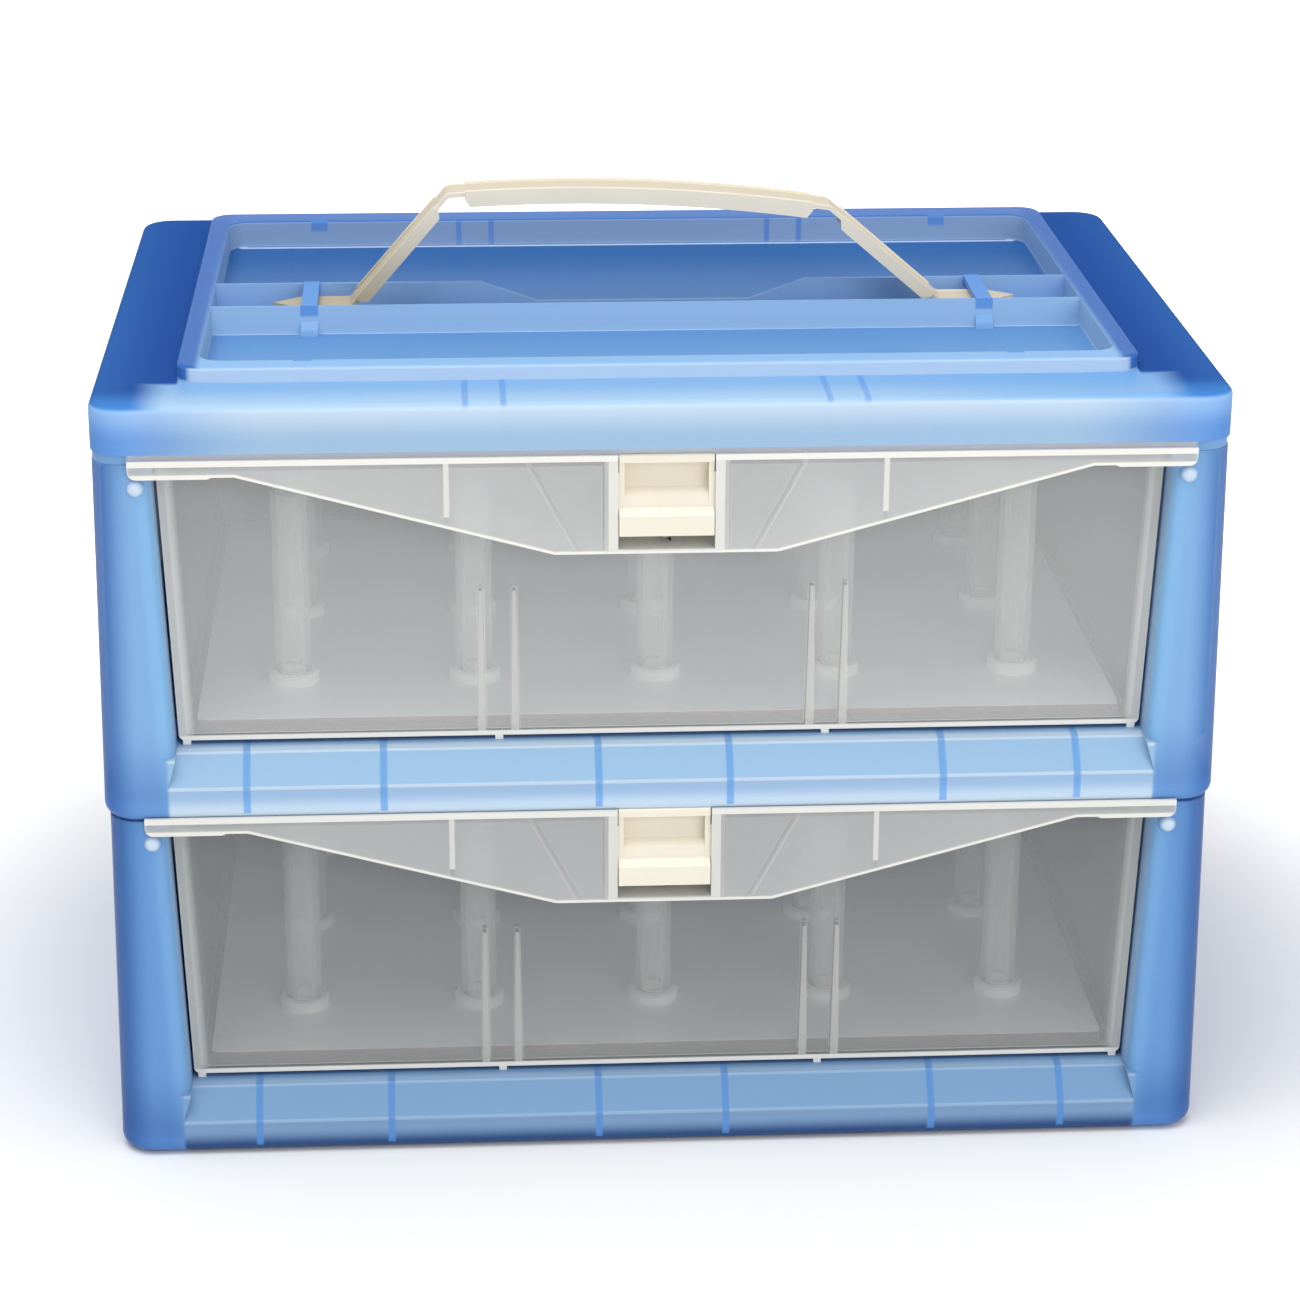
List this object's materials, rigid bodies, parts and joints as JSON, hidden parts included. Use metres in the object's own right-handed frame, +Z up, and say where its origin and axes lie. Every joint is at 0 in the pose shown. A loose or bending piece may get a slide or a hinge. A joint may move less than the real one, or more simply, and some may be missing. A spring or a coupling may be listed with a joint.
{
  "type": "thread storage box",
  "caption": "Two-tier plastic storage box with clear pull-out drawers, acrylic thread posts, thumb latches and a lid with a folding strap handle.",
  "frame": {"origin": "middle of the overall box at floor level", "axes": "+X to the right along the drawer fronts, +Y from the drawer fronts to the back, +Z up"},
  "size_m": [0.3386, 0.2312, 0.2829],
  "materials": {
    "lid_blue": "smooth translucent",
    "shell_blue": "smooth translucent",
    "drawer_clear": "frosted clear",
    "acrylic": "clear",
    "latch_cream": "smooth",
    "handle_cream": "satin",
    "spring_steel": "drawn wire"
  },
  "bodies": {
    "case": {"lid": "lid_blue", "upper_tier_shell": "shell_blue", "lower_tier_shell": "shell_blue"},
    "lower_drawer": {"lower_drawer": "drawer_clear", "lower_insert_plate": "acrylic", "lower_latch_spring": "spring_steel", "lower_post_front_1": "acrylic", "lower_post_front_2": "acrylic", "lower_post_front_3": "acrylic", "lower_post_front_4": "acrylic", "lower_post_front_5": "acrylic", "lower_post_middle_1": "acrylic", "lower_post_middle_2": "acrylic", "lower_post_middle_3": "acrylic", "lower_post_middle_4": "acrylic", "lower_post_middle_5": "acrylic", "lower_post_rear_1": "acrylic", "lower_post_rear_2": "acrylic", "lower_post_rear_3": "acrylic", "lower_post_rear_4": "acrylic", "lower_post_rear_5": "acrylic"},
    "lower_latch": {"lower_latch_slider": "latch_cream"},
    "upper_drawer": {"upper_drawer": "drawer_clear", "upper_insert_plate": "acrylic", "upper_latch_spring": "spring_steel", "upper_post_front_1": "acrylic", "upper_post_front_2": "acrylic", "upper_post_front_3": "acrylic", "upper_post_front_4": "acrylic", "upper_post_front_5": "acrylic", "upper_post_middle_1": "acrylic", "upper_post_middle_2": "acrylic", "upper_post_middle_3": "acrylic", "upper_post_middle_4": "acrylic", "upper_post_middle_5": "acrylic", "upper_post_rear_1": "acrylic", "upper_post_rear_2": "acrylic", "upper_post_rear_3": "acrylic", "upper_post_rear_4": "acrylic", "upper_post_rear_5": "acrylic"},
    "upper_latch": {"upper_latch_slider": "latch_cream"},
    "handle_grip": {"handle_grip": "handle_cream"},
    "handle_leg_left": {"handle_leg_left": "handle_cream"},
    "handle_leg_right": {"handle_leg_right": "handle_cream"},
    "handle_tab_left": {"handle_tab_left": "handle_cream"},
    "handle_tab_right": {"handle_tab_right": "handle_cream"}
  },
  "joints": [
    {"name": "lower_drawer_slide", "type": "slide", "parent": "case", "child": "lower_drawer", "axis": [0, -1, 0], "range_m": [0, 0.18]},
    {"name": "lower_latch_slide", "type": "slide", "parent": "lower_drawer", "child": "lower_latch", "axis": [0, 0, -1], "range_m": [0, 0.0025], "stiffness_N_per_m": 400, "springref_m": -0.004, "deforming": ["lower_latch_spring"]},
    {"name": "upper_drawer_slide", "type": "slide", "parent": "case", "child": "upper_drawer", "axis": [0, -1, 0], "range_m": [0, 0.18]},
    {"name": "upper_latch_slide", "type": "slide", "parent": "upper_drawer", "child": "upper_latch", "axis": [0, 0, -1], "range_m": [0, 0.0025], "stiffness_N_per_m": 400, "springref_m": -0.004, "deforming": ["upper_latch_spring"]},
    {"name": "handle_lift", "type": "slide", "parent": "case", "child": "handle_grip", "axis": [0, 0, 1], "range_m": [-0.032, 0], "stiffness_N_per_m": 150, "springref_m": 0.002},
    {"name": "handle_left_top_fold", "type": "hinge", "parent": "handle_grip", "child": "handle_leg_left", "pos_m": [-0.0626, -0.0072, 0.2806], "axis": [0, 1, 0], "range_deg": [-0.2, 44.6]},
    {"name": "handle_right_top_fold", "type": "hinge", "parent": "handle_grip", "child": "handle_leg_right", "pos_m": [0.0576, -0.0072, 0.2756], "axis": [0, 1, 0], "range_deg": [-42.1, 0.2]},
    {"name": "handle_left_foot_fold", "type": "hinge", "parent": "handle_leg_left", "child": "handle_tab_left", "pos_m": [-0.09374, -0.0072, 0.2446], "axis": [0, 1, 0], "range_deg": [-44.6, 0.2]},
    {"name": "handle_right_foot_fold", "type": "hinge", "parent": "handle_leg_right", "child": "handle_tab_right", "pos_m": [0.09372, -0.0072, 0.2446], "axis": [0, 1, 0], "range_deg": [-0.2, 42.1]}
  ],
  "couplings": [
    {"joint": "handle_left_top_fold", "follows": "handle_lift", "rad_per_m": -24.17},
    {"joint": "handle_right_top_fold", "follows": "handle_lift", "rad_per_m": 22.82},
    {"joint": "handle_left_foot_fold", "follows": "handle_lift", "rad_per_m": 24.17},
    {"joint": "handle_right_foot_fold", "follows": "handle_lift", "rad_per_m": -22.82}
  ]
}
